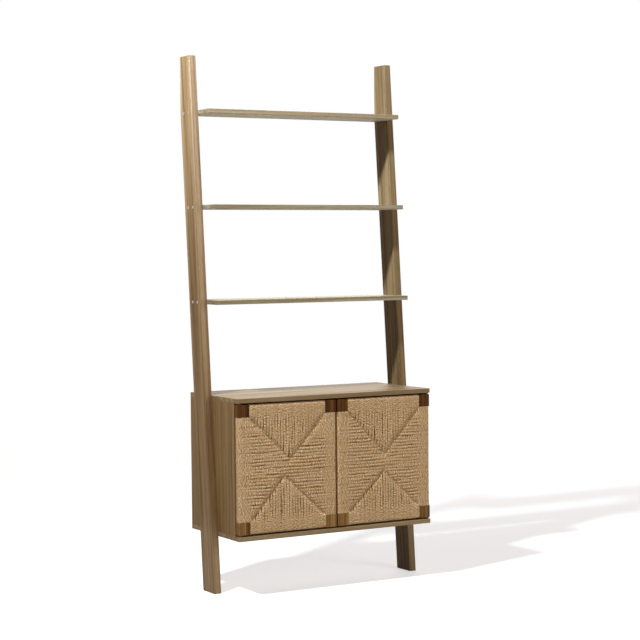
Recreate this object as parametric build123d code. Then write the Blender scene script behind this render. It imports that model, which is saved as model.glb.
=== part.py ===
from build123d import *
import math
import os

# A leaning shelf: two stiles, three open shelves and a low cabinet with two cord-woven doors.
# Millimetres. +Z is up, the front faces -Y, X runs across. The origin is on the floor, under the
# middle of the outer box. The wall plane that the stiles lean on is the back of that box.

# Overall
overall_width = 800.0
overall_height = 1800.0
overall_depth = 350.0

# Stiles: flat bars that lean back and are cut plumb where they reach the wall plane
stile_thickness = 25.0
stile_depth = 85.0
foot_reach = 217.0
lean_angle = 4.7
stile_easing = 1.0

# Boards
board = 15.0
board_easing = 0.8
slip = 0.15

# Heights, counted down from the stile tops
top_space = 184.0
shelf_gap = 304.0
cabinet_clear = 439.0
shelf_count = 3

# Open shelves
shelf_depth = 160.0
shelf_overhang = 77.0

# Screws through the stiles into the shelf ends
screw_spacing = 35.0
screw_shank = 6.0
screw_bite = 24.0
screw_head = 9.5
screw_head_height = 4.0
socket_size = 4.0
socket_depth = 2.5

# Back panel in grooves, and the loose inner shelf on its pins
back_thickness = 4.0
back_inset = 10.0
groove_depth = 6.0
inner_shelf_setback = 30.0
inner_shelf_end_gap = 0.5
pin_inset = 45.0
pin_diameter = 5.0
pin_bite = 9.0
paddle_length = 10.0
paddle_width = 9.0
paddle_thickness = 3.0

# Glued dowels between the sides and the boards above and below them
dowel_count = 3
dowel_inset = 40.0
dowel_diameter = 8.0
dowel_length = 30.0
dowel_in_board = 10.0

# Dowels, shanks, sleeves and stems that are sunk in wood have this many sides, which keeps them light
sunk_sides = 8

# Bolts from inside the cabinet into threaded inserts in the stiles
bolt_height_inset = 85.0
bolt_diameter = 6.0
bolt_head = 13.0
bolt_head_height = 3.5
insert_diameter = 10.0
insert_length = 16.0

# Doors
door_thickness = 25.0
door_recess = 1.5
door_side_margin = 1.5
door_meeting_gap = 5.0
door_height_gap = 5.0
door_back_gap = 2.5
corner_block = 42.0
block_easing = 0.8
cord = 4.0
weave_proud = 1.0
rail_rounding = 4.0
tenon_length = 22.0
tenon_thickness = 9.0
tenon_height = 22.0
seam_width = 8.0
seam_depth = 2.6

# Door pivots
pivot_edge = 8.0
pivot_front = 8.0
pivot_pin = 6.0
pivot_running = 0.06
pivot_bite = 10.0
pivot_reach = 12.0
bush_wall = 2.0
pivot_flange = 14.0
thrust_gap = 0.3

# Push latches under the cabinet top
latch_width = 14.0
latch_length = 52.0
latch_front_gap = 6.0
plunger_diameter = 8.0
plunger_running = 0.08
plunger_length = 40.0
plunger_travel = 2.5
plunger_gap = 0.3
strike_size = 14.0
strike_thickness = 1.2
strike_margin = 2.0

# Places worked out from the sizes above
wall_y = overall_depth / 2
front_y = -overall_depth / 2
inner_x = overall_width / 2 - stile_thickness
side_x = inner_x - board
lean = math.tan(math.radians(lean_angle))
shelf_tops = [overall_height - top_space - i * (board + shelf_gap) for i in range(shelf_count)]
cabinet_top_z = overall_height - top_space - shelf_count * (board + shelf_gap)
clear_top = cabinet_top_z - board
clear_bottom = clear_top - cabinet_clear
cabinet_bottom_z = clear_bottom - board
door_front = front_y + door_recess
door_back = door_front + door_thickness
side_front = door_back + door_back_gap
door_low = clear_bottom + door_height_gap
door_high = clear_top - door_height_gap
door_outer = -inner_x + door_side_margin
door_inner = -door_meeting_gap / 2
cord_recess = cord - weave_proud
back_rear = wall_y - back_inset
back_front = back_rear - back_thickness


def stile_front(z):
    """Y of the stiles' front edge at height z."""
    return wall_y - foot_reach + z * lean


def stile_middle(z):
    """Y of the middle of a stile's section at height z, which the wall plane may cut short."""
    return (stile_front(z) + min(stile_front(z) + stile_depth, wall_y)) / 2


def block(low, high):
    """Box between two corners."""
    size = [b - a for a, b in zip(low, high)]
    corner = (Align.MIN, Align.MIN, Align.MIN)
    return Pos(*low) * Box(*size, align=corner)


def eased(solid, easing):
    """The solid with all its edges broken by a small chamfer."""
    return chamfer(solid.edges(), easing)


def rod(start, end, diameter):
    """Round bar from one point to another."""
    axis = Vector(*end) - Vector(*start)
    seat = (Align.CENTER, Align.CENTER, Align.MIN)
    return Plane(origin=start, z_dir=axis) * Cylinder(diameter / 2, axis.length, align=seat)


def sunk_bar(start, end, across_flats):
    """Many-sided bar or hole, for what is hidden in the wood."""
    axis = Vector(*end) - Vector(*start)
    outline = RegularPolygon(across_flats / 2, sunk_sides, major_radius=False)
    return extrude(Plane(origin=start, z_dir=axis) * outline, axis.length)


def hex_socket(mouth, inward):
    """Hexagonal key recess that goes inward from its mouth."""
    across_corners = socket_size / math.cos(math.radians(30))
    outline = Plane(origin=mouth, z_dir=inward) * RegularPolygon(across_corners / 2, 6)
    return extrude(outline, socket_depth)


def mirrored(solids):
    """The same solids on the other side of the middle plane."""
    return [mirror(solid, about=Plane.YZ) for solid in solids]


def write(name, solids):
    """Write one node, made of one solid or of several separate ones."""
    shape = solids[0] if len(solids) == 1 else Compound(children=solids)
    export_step(shape, os.path.join("parts", name + ".step"))


def write_pair(name, solids):
    """Write the left-hand node and its mirror image on the right."""
    write("left_" + name, solids)
    write("right_" + name, mirrored(solids))


# Places where pieces meet, each used by both of them. X is on the left-hand side.
shelf_screw_points = []
for top in shelf_tops:
    middle_z = top - board / 2
    for offset in (-screw_spacing / 2, screw_spacing / 2):
        shelf_screw_points.append((stile_middle(middle_z) + offset, middle_z))

bolt_heights = (clear_bottom + bolt_height_inset, clear_top - bolt_height_inset)
bolt_points = [(stile_middle(z), z) for z in bolt_heights]

side_middle_x = -inner_x + board / 2
dowel_run = back_front - side_front - 2 * dowel_inset
dowel_ys = [side_front + dowel_inset + dowel_run * i / (dowel_count - 1) for i in range(dowel_count)]
joints_z = ((clear_top, 1), (clear_bottom, -1))

inner_shelf_low = (clear_bottom + clear_top - board) / 2
inner_shelf_front = side_front + inner_shelf_setback
pin_ys = (inner_shelf_front + pin_inset, back_front - pin_inset)
pin_z = inner_shelf_low - paddle_thickness / 2

pivot_x = door_outer + pivot_edge
pivot_y = door_front + pivot_front
pivot_joints = ((clear_top, door_high, 1), (clear_bottom, door_low, -1))
flange_height = door_height_gap - thrust_gap
bush_bore = pivot_pin + 2 * pivot_running
bush_outer = bush_bore + 2 * bush_wall
bush_length = pivot_reach + thrust_gap

latch_x = door_inner - corner_block / 2
latch_z = door_high - strike_margin - strike_size / 2
latch_low = latch_z - latch_width / 2
latch_front = door_back + latch_front_gap
plunger_tip = door_back + plunger_gap
plunger_tail = plunger_tip + plunger_length


def make_stile():
    """Left stile: a leaning bar, cut level at both ends and plumb along the wall plane."""
    profile = Polygon(
        (stile_front(0), 0),
        (stile_front(0) + stile_depth, 0),
        (stile_front(overall_height) + stile_depth, overall_height),
        (stile_front(overall_height), overall_height),
        align=None,
    )
    bar = extrude(Plane(origin=(-inner_x, 0, 0), x_dir=(0, 1, 0), z_dir=(1, 0, 0)) * profile, -stile_thickness)
    behind_wall = block((-overall_width, wall_y, 0), (0, wall_y + foot_reach, overall_height))
    bar = bar - behind_wall
    outline = [edge for edge in bar.edges() if edge.bounding_box().size.X < slip]
    bar = chamfer([edge for edge in outline if edge.center().Z > slip], stile_easing)
    outer_x = -overall_width / 2
    for y, z in shelf_screw_points:
        bar -= sunk_bar((outer_x, y, z), (-inner_x, y, z), screw_shank + 2 * slip)
        bar -= rod((outer_x, y, z), (outer_x + screw_head_height, y, z), screw_head + 2 * slip)
    for y, z in bolt_points:
        bar -= sunk_bar((-inner_x, y, z), (-inner_x - insert_length - slip, y, z), insert_diameter + 2 * slip)
    return bar


def make_shelf(top):
    """Open shelf with its pilot holes, between the inner faces of the stiles."""
    middle_z = top - board / 2
    front = stile_front(middle_z) - shelf_overhang
    shelf = eased(block((-inner_x, front, top - board), (inner_x, front + shelf_depth, top)), board_easing)
    holes = []
    for y, z in shelf_screw_points:
        if z == middle_z:
            end = (-inner_x + screw_bite + slip, y, z)
            holes.append(sunk_bar((-inner_x, y, z), end, screw_shank + 2 * slip))
    return shelf - holes - mirrored(holes)


def make_shelf_screws():
    """Screws through the left stile into the shelf ends, heads flush with its outer face."""
    outer_x = -overall_width / 2
    screws = []
    for y, z in shelf_screw_points:
        head = rod((outer_x, y, z), (outer_x + screw_head_height, y, z), screw_head)
        shank = sunk_bar((outer_x + socket_depth, y, z), (-inner_x + screw_bite, y, z), screw_shank)
        screws.append(head + shank - hex_socket((outer_x, y, z), (1, 0, 0)))
    return screws


def make_long_board(low_z, inside_z, inward):
    """Cabinet top or bottom: full width and depth, with its groove, dowel holes and pivot holes."""
    panel = eased(block((-inner_x, front_y, low_z), (inner_x, wall_y, low_z + board)), board_easing)
    groove_x = side_x + groove_depth
    groove_low = min(inside_z, inside_z + inward * groove_depth)
    panel -= block(
        (-groove_x, back_front - slip, groove_low),
        (groove_x, back_rear + slip, groove_low + groove_depth),
    )
    holes = []
    for y in dowel_ys:
        end = (side_middle_x, y, inside_z + inward * (dowel_in_board + slip))
        holes.append(sunk_bar((side_middle_x, y, inside_z), end, dowel_diameter + 2 * slip))
    end = (pivot_x, pivot_y, inside_z + inward * (pivot_bite + slip))
    holes.append(sunk_bar((pivot_x, pivot_y, inside_z), end, pivot_pin + 2 * slip))
    return panel - holes - mirrored(holes)


def make_side():
    """Left cabinet side with its groove, dowel holes, bolt holes and shelf pin holes."""
    side = eased(block((-inner_x, side_front, clear_bottom), (-side_x, wall_y, clear_top)), board_easing)
    side -= block(
        (-side_x - groove_depth, back_front - slip, clear_bottom),
        (-side_x, back_rear + slip, clear_top),
    )
    for face_z, up in joints_z:
        for y in dowel_ys:
            end = (side_middle_x, y, face_z - up * (dowel_length - dowel_in_board + slip))
            side -= sunk_bar((side_middle_x, y, face_z), end, dowel_diameter + 2 * slip)
    for y, z in bolt_points:
        side -= sunk_bar((-inner_x, y, z), (-side_x, y, z), bolt_diameter + 2 * slip)
    for y in pin_ys:
        side -= sunk_bar((-side_x, y, pin_z), (-side_x - pin_bite - slip, y, pin_z), pin_diameter + 2 * slip)
    return side


def make_back_panel():
    """Thin back board, held in the grooves all round."""
    edge_x = side_x + groove_depth - slip
    rise = groove_depth - slip
    return block((-edge_x, back_front, clear_bottom - rise), (edge_x, back_rear, clear_top + rise))


def make_inner_shelf():
    """Loose shelf inside the cabinet, resting on its pins."""
    edge_x = side_x - inner_shelf_end_gap
    low = (-edge_x, inner_shelf_front, inner_shelf_low)
    return eased(block(low, (edge_x, back_front - slip, inner_shelf_low + board)), board_easing)


def make_shelf_pins():
    """Pins of the left side, each with a flat paddle under the inner shelf."""
    pins = []
    for y in pin_ys:
        stem = sunk_bar((-side_x - pin_bite, y, pin_z), (-side_x, y, pin_z), pin_diameter)
        low = (-side_x, y - paddle_width / 2, inner_shelf_low - paddle_thickness)
        pins.append(stem + block(low, (-side_x + paddle_length, y + paddle_width / 2, inner_shelf_low)))
    return pins


def make_dowels():
    """Wooden dowels of the left side's two joints."""
    dowels = []
    for face_z, up in joints_z:
        for y in dowel_ys:
            start = (side_middle_x, y, face_z + up * dowel_in_board)
            end = (side_middle_x, y, face_z - up * (dowel_length - dowel_in_board))
            dowels.append(sunk_bar(start, end, dowel_diameter))
    return dowels


def make_cabinet_bolts():
    """Bolts from inside the cabinet through its left side into the stile's inserts."""
    bolts = []
    for y, z in bolt_points:
        mouth = (-side_x + bolt_head_height, y, z)
        bolt = rod((-side_x, y, z), mouth, bolt_head)
        bolt += sunk_bar((-side_x, y, z), (-inner_x - insert_length, y, z), bolt_diameter)
        bolts.append(bolt - hex_socket(mouth, (-1, 0, 0)))
    return bolts


def make_stile_inserts():
    """Threaded inserts in the left stile's inner face."""
    inserts = []
    for y, z in bolt_points:
        end = (-inner_x - insert_length, y, z)
        sleeve = sunk_bar((-inner_x, y, z), end, insert_diameter)
        inserts.append(sleeve - sunk_bar((-inner_x, y, z), end, bolt_diameter + 2 * slip))
    return inserts


def make_pivot_pins():
    """Pins of the left door, standing in the cabinet's top and bottom."""
    pins = []
    for board_z, door_z, up in pivot_joints:
        root = (pivot_x, pivot_y, board_z + up * pivot_bite)
        pins.append(rod(root, (pivot_x, pivot_y, door_z - up * pivot_reach), pivot_pin))
    return pins


def make_pivot_bushes():
    """Bushes in the left door's outer corner blocks, with flanges that space the door from the cabinet."""
    bushes = []
    for board_z, door_z, up in pivot_joints:
        rim = (pivot_x, pivot_y, door_z + up * flange_height)
        foot = (pivot_x, pivot_y, door_z - up * bush_length)
        mouth = (pivot_x, pivot_y, door_z)
        bush = rod(rim, mouth, pivot_flange) + sunk_bar(mouth, foot, bush_outer)
        bushes.append(bush - rod(rim, foot, bush_bore))
    return bushes


def make_post(edge_x, inner_edge_x):
    """Door post: square blocks at both ends, waisted between them where the cord is wound."""
    low_x = min(edge_x, inner_edge_x)
    high_x = max(edge_x, inner_edge_x)
    toward = 1 if inner_edge_x > edge_x else -1
    ends = []
    for low_z in (door_low, door_high - corner_block):
        end = block((low_x, door_front, low_z), (high_x, door_back, low_z + corner_block))
        ends.append(eased(end, block_easing))
    waist_edge = edge_x + toward * cord
    waist = block(
        (min(waist_edge, inner_edge_x), door_front + cord_recess, door_low + corner_block),
        (max(waist_edge, inner_edge_x), door_back - cord_recess, door_high - corner_block),
    )
    long_edges = waist.edges().filter_by(Axis.Z)
    wound = [edge for edge in long_edges if abs(edge.center().X - waist_edge) < slip]
    post = ends[0] + fillet(wound, rail_rounding) + ends[1]
    middle_y = (door_front + door_back) / 2
    for rail_z in rail_middles():
        mouth_x = inner_edge_x
        bottom_x = inner_edge_x - toward * (tenon_length + slip)
        post -= block(
            (min(mouth_x, bottom_x), middle_y - tenon_thickness / 2 - slip, rail_z - tenon_height / 2 - slip),
            (max(mouth_x, bottom_x), middle_y + tenon_thickness / 2 + slip, rail_z + tenon_height / 2 + slip),
        )
    return post


def rail_middles():
    """Heights of the middles of the bottom and top rails."""
    half = (corner_block + cord) / 2
    return (door_low + half, door_high - half)


def make_outer_post():
    """Left door's hinge-side post, bored for the pivot bushes."""
    post = make_post(door_outer, door_outer + corner_block)
    for board_z, door_z, up in pivot_joints:
        end = (pivot_x, pivot_y, door_z - up * (bush_length + slip))
        post -= sunk_bar((pivot_x, pivot_y, door_z), end, bush_outer + 2 * slip)
    return post


def make_inner_post():
    """Left door's closing-side post, with the strike plate's pocket in its top block."""
    post = make_post(door_inner, door_inner - corner_block)
    return post - strike_box(slip)


def make_rail(middle_z, outward):
    """Left door's rail, rounded where the cord goes over it, with a tenon at each end."""
    left = door_outer + corner_block
    right = door_inner - corner_block
    half = (corner_block - cord) / 2
    bar = block(
        (left, door_front + cord_recess, middle_z - half),
        (right, door_back - cord_recess, middle_z + half),
    )
    long_edges = bar.edges().filter_by(Axis.X)
    rounded = [edge for edge in long_edges if (edge.center().Z - middle_z) * outward > 0]
    bar = fillet(rounded, rail_rounding)
    middle_y = (door_front + door_back) / 2
    tenon = block(
        (left - tenon_length, middle_y - tenon_thickness / 2, middle_z - tenon_height / 2),
        (right + tenon_length, middle_y + tenon_thickness / 2, middle_z + tenon_height / 2),
    )
    return bar + tenon


def seam_points():
    """Ends of the seams where the four fields of cord meet, as X and Z: from the corners inward."""
    reach = min(door_inner - door_outer, door_high - door_low) / 2
    low_left = (door_outer + reach, door_low + reach)
    high_left = (door_outer + reach, door_high - reach)
    low_right = (door_inner - reach, door_low + reach)
    high_right = (door_inner - reach, door_high - reach)
    return [
        ((door_outer, door_low), low_left),
        ((door_outer, door_high), high_left),
        ((door_inner, door_low), low_right),
        ((door_inner, door_high), high_right),
        (low_left, high_right),
    ]


def make_seam(start, end, face_y, outward):
    """Wedge that cuts the sunk seam between two fields of cord on one face of the door."""
    along = Vector(end[0] - start[0], 0, end[1] - start[1])
    normal = Vector(0, outward, 0)
    plane = Plane(origin=(start[0], face_y, start[1]), x_dir=normal.cross(along), z_dir=along)
    spread = 1 + slip / seam_depth
    wedge = Polygon(
        (-seam_width / 2 * spread, slip),
        (0, -seam_depth),
        (seam_width / 2 * spread, slip),
        align=None,
    )
    return extrude(plane * wedge, along.length)


def make_weave(frame_pieces):
    """Left door's panel of cord: wound over the rails and posts, filling the field between them."""
    front = door_front - weave_proud
    back = door_back + weave_proud
    rounding = rail_rounding + cord
    upright = block((door_outer, front, door_low + corner_block), (door_inner, back, door_high - corner_block))
    upright = fillet(upright.edges().filter_by(Axis.Z), rounding)
    across = block((door_outer + corner_block, front, door_low), (door_inner - corner_block, back, door_high))
    across = fillet(across.edges().filter_by(Axis.X), rounding)
    panel = upright + across
    for piece in frame_pieces:
        panel -= piece
    for start, end in seam_points():
        panel -= make_seam(start, end, front, -1)
        panel -= make_seam(start, end, back, 1)
    return panel


def make_latch_body():
    """Left door's push latch housing under the cabinet top, bored for its plunger."""
    half = latch_width / 2
    low = (latch_x - half, latch_front, latch_low)
    body = block(low, (latch_x + half, latch_front + latch_length, clear_top))
    bore_end = plunger_tail + 2 * plunger_travel
    bore = plunger_diameter + 2 * plunger_running
    return body - rod((latch_x, latch_front, latch_z), (latch_x, bore_end, latch_z), bore)


def make_plunger():
    """Left door's latch plunger, just behind the closed door's strike plate."""
    return rod((latch_x, plunger_tip, latch_z), (latch_x, plunger_tail, latch_z), plunger_diameter)


def strike_box(margin):
    """Space of the left door's strike plate, flush with the door's back, with a margin round it."""
    half = strike_size / 2 + margin
    low = (latch_x - half, door_back - strike_thickness, latch_z - half)
    return block(low, (latch_x + half, door_back, latch_z + half))


def main():
    """Build every piece and write it."""
    os.makedirs("parts", exist_ok=True)
    write_pair("stile", [make_stile()])
    for name, top in zip(("top_shelf", "middle_shelf", "lower_shelf"), shelf_tops):
        write(name, [make_shelf(top)])
    write_pair("shelf_screws", make_shelf_screws())
    write("cabinet_top", [make_long_board(clear_top, clear_top, 1)])
    write("cabinet_bottom", [make_long_board(cabinet_bottom_z, clear_bottom, -1)])
    write_pair("side_panel", [make_side()])
    write("back_panel", [make_back_panel()])
    write("inner_shelf", [make_inner_shelf()])
    for name, make in (
        ("shelf_pins", make_shelf_pins),
        ("carcass_dowels", make_dowels),
    ):
        solids = make()
        write(name, solids + mirrored(solids))
    write_pair("cabinet_bolts", make_cabinet_bolts())
    write_pair("stile_inserts", make_stile_inserts())
    write_pair("pivot_pins", make_pivot_pins())
    write_pair("pivot_bushes", make_pivot_bushes())
    outer_post = make_outer_post()
    inner_post = make_inner_post()
    low_rail_z, high_rail_z = rail_middles()
    bottom_rail = make_rail(low_rail_z, -1)
    top_rail = make_rail(high_rail_z, 1)
    write_pair("door_outer_post", [outer_post])
    write_pair("door_inner_post", [inner_post])
    write_pair("door_top_rail", [top_rail])
    write_pair("door_bottom_rail", [bottom_rail])
    write_pair("door_weave", [make_weave([outer_post, inner_post, bottom_rail, top_rail])])
    write_pair("latch_body", [make_latch_body()])
    write_pair("latch_plunger", [make_plunger()])
    write_pair("strike_plate", [strike_box(0)])


main()
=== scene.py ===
"""Dresses the ladder shelf: veneered boards, cord-woven doors, plated fittings and a plain studio."""

import logging
import math
import random
from dataclasses import dataclass, field
from enum import Enum
from itertools import product

import bpy
from bpy.types import Light, Material, Mesh, Node, NodeSocket, NodeTree, Object
from mathutils import Matrix, Vector, noise


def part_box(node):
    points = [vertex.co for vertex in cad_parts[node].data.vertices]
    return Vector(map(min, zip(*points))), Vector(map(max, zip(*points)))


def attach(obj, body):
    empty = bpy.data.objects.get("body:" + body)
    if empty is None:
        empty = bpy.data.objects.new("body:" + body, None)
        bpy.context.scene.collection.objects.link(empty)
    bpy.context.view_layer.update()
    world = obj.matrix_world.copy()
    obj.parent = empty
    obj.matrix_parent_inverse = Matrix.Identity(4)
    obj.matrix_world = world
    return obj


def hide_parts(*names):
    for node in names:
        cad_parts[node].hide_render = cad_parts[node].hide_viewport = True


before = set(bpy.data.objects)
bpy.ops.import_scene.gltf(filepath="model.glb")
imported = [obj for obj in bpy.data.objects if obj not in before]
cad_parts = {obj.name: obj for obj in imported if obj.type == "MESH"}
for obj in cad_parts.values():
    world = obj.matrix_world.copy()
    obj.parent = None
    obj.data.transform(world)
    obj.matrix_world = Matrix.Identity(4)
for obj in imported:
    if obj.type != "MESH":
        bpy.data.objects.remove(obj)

LOG = logging.getLogger("ladder_shelf")
MM = 0.001
# Colour sockets of a Mix node: its two inputs and its output.
MIX_A, MIX_B, MIX_OUT = 6, 7, 2
# Cosines to a direction, of a face that just misses looking that way and of one that does look that way.
LOOKS_PAST, LOOKS_THERE = 0.6, 0.9


class Side(Enum):
    """Which half of the unit a piece belongs to."""

    LEFT = "left"
    RIGHT = "right"

    def node(self, name: str) -> str:
        """Full node name of a piece on this side."""
        return f"{self.value}_{name}"


class Grain(Enum):
    """Which way the grain of a board runs."""

    ACROSS = "across"
    UPRIGHT = "upright"
    LEANING = "leaning"

    def feature_size(self, width: float, length: float) -> tuple[float, float, float]:
        """Size of one grain feature along X, Y and Z.

        Args:
            width: Size across the grain, in metres.
            length: Size along the grain, in metres.

        Returns:
            The three sizes in metres.
        """
        if self is Grain.ACROSS:
            return (length, width, width)
        return (width, width, length)

    def turn(self, lean_degrees: float) -> tuple[float, float, float]:
        """Turn that lays the pattern along the board.

        Args:
            lean_degrees: How far a leaning board leans back.

        Returns:
            The turn as Euler angles.
        """
        if self is Grain.LEANING:
            return (-math.radians(lean_degrees), 0.0, 0.0)
        return (0.0, 0.0, 0.0)


class Edge(Enum):
    """Edge of a door over which a run of cord is wound."""

    TOP = "top"
    BOTTOM = "bottom"
    LOW_X = "low_x"
    HIGH_X = "high_x"

    @property
    def level(self) -> bool:
        """Whether the edge runs from side to side."""
        return self in (Edge.TOP, Edge.BOTTOM)


def linear(code: str) -> tuple[float, float, float, float]:
    """Linear colour of an sRGB hex value.

    Args:
        code: Six hex digits after a hash sign.

    Returns:
        Red, green, blue and alpha, linear.
    """
    channels = [int(code[i:i + 2], 16) / 255 for i in (1, 3, 5)]
    decoded = [c / 12.92 if c <= 0.04045 else ((c + 0.055) / 1.055) ** 2.4 for c in channels]
    return (decoded[0], decoded[1], decoded[2], 1.0)


def add_node(tree: NodeTree, kind: str, inputs: dict[str | int, object] | None = None,
             **settings: object) -> Node:
    """Add a node with its settings, values and links.

    Args:
        tree: Tree that gets the node.
        kind: Node type.
        inputs: Input name or number to a value, or to the socket that feeds it.
        settings: Properties of the node.

    Returns:
        The new node.
    """
    node = tree.nodes.new(kind)
    for key, value in settings.items():
        setattr(node, key, value)
    for key, value in (inputs or {}).items():
        if isinstance(value, NodeSocket):
            tree.links.new(value, node.inputs[key])
        else:
            node.inputs[key].default_value = value
    return node


def set_stops(ramp: Node, positions: tuple[float, ...], codes: tuple[str, ...]) -> None:
    """Give a colour ramp its stops.

    Args:
        ramp: Colour ramp node.
        positions: Positions of the stops, in order.
        codes: Their hex colours.
    """
    elements = ramp.color_ramp.elements
    while len(elements) < len(positions):
        elements.new(1.0)
    for element, position, code in zip(elements, positions, codes):
        element.position = position
        element.color = linear(code)


def new_material(name: str) -> tuple[Material, NodeTree, Node]:
    """Empty node material with its output.

    Args:
        name: Name of the material.

    Returns:
        The material, its tree and the output node.
    """
    material = bpy.data.materials.new(name)
    material.use_nodes = True
    tree = material.node_tree
    tree.nodes.clear()
    return material, tree, add_node(tree, "ShaderNodeOutputMaterial")


def new_object(name: str, data: bpy.types.ID) -> Object:
    """Object in the scene.

    Args:
        name: Name of the object.
        data: Its mesh, light or camera data.

    Returns:
        The new object.
    """
    thing = bpy.data.objects.new(name, data)
    bpy.context.scene.collection.objects.link(thing)
    return thing


@dataclass(frozen=True)
class Patch:
    """Part of a board on which light or shade is painted, chosen by which way it faces or how high it is.

    With a painted colour the part is mixed towards it, and without one the wood's own colour changes.
    """

    facing: tuple[float, float, float] | None = None
    # Heights at which the change starts and is full.
    heights_mm: tuple[float, float] | None = None
    brightness: float = 1.0
    saturation: float = 1.0
    # Half a turn is no change of hue, a little more is yellower.
    hue: float = 0.5
    painted_colour: str | None = None
    most: float = 1.0

    def apply(self, tree: NodeTree, spot: NodeSocket, colour: NodeSocket) -> NodeSocket:
        """Paint light or shade on the part.

        Args:
            tree: Tree of the material.
            spot: Place on the piece.
            colour: Colour of the board.

        Returns:
            The colour with the change.
        """
        tests = []
        if self.facing:
            flat = add_node(tree, "ShaderNodeNewGeometry")
            facing = add_node(tree, "ShaderNodeVectorMath", {0: flat.outputs["Normal"], 1: self.facing},
                              operation="DOT_PRODUCT")
            tests.append((facing.outputs["Value"], LOOKS_PAST, LOOKS_THERE))
        if self.heights_mm:
            height = add_node(tree, "ShaderNodeSeparateXYZ", {0: spot})
            tests.append((height.outputs["Z"], *(mm * MM for mm in self.heights_mm)))
        share: float | NodeSocket = self.most
        for value, start, full in tests:
            share = add_node(tree, "ShaderNodeMapRange",
                             {"Value": value, "From Min": start, "From Max": full,
                              "To Max": share}).outputs[0]
        # A painted colour stands in for light or shade on the part.
        if self.painted_colour:
            covered = add_node(tree, "ShaderNodeMix", {0: share, MIX_A: colour, MIX_B: linear(self.painted_colour)},
                               data_type="RGBA")
            return covered.outputs[MIX_OUT]
        changed = add_node(tree, "ShaderNodeHueSaturation",
                           {"Fac": share, "Color": colour, "Hue": self.hue, "Saturation": self.saturation,
                            "Value": self.brightness})
        return changed.outputs["Color"]


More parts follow.
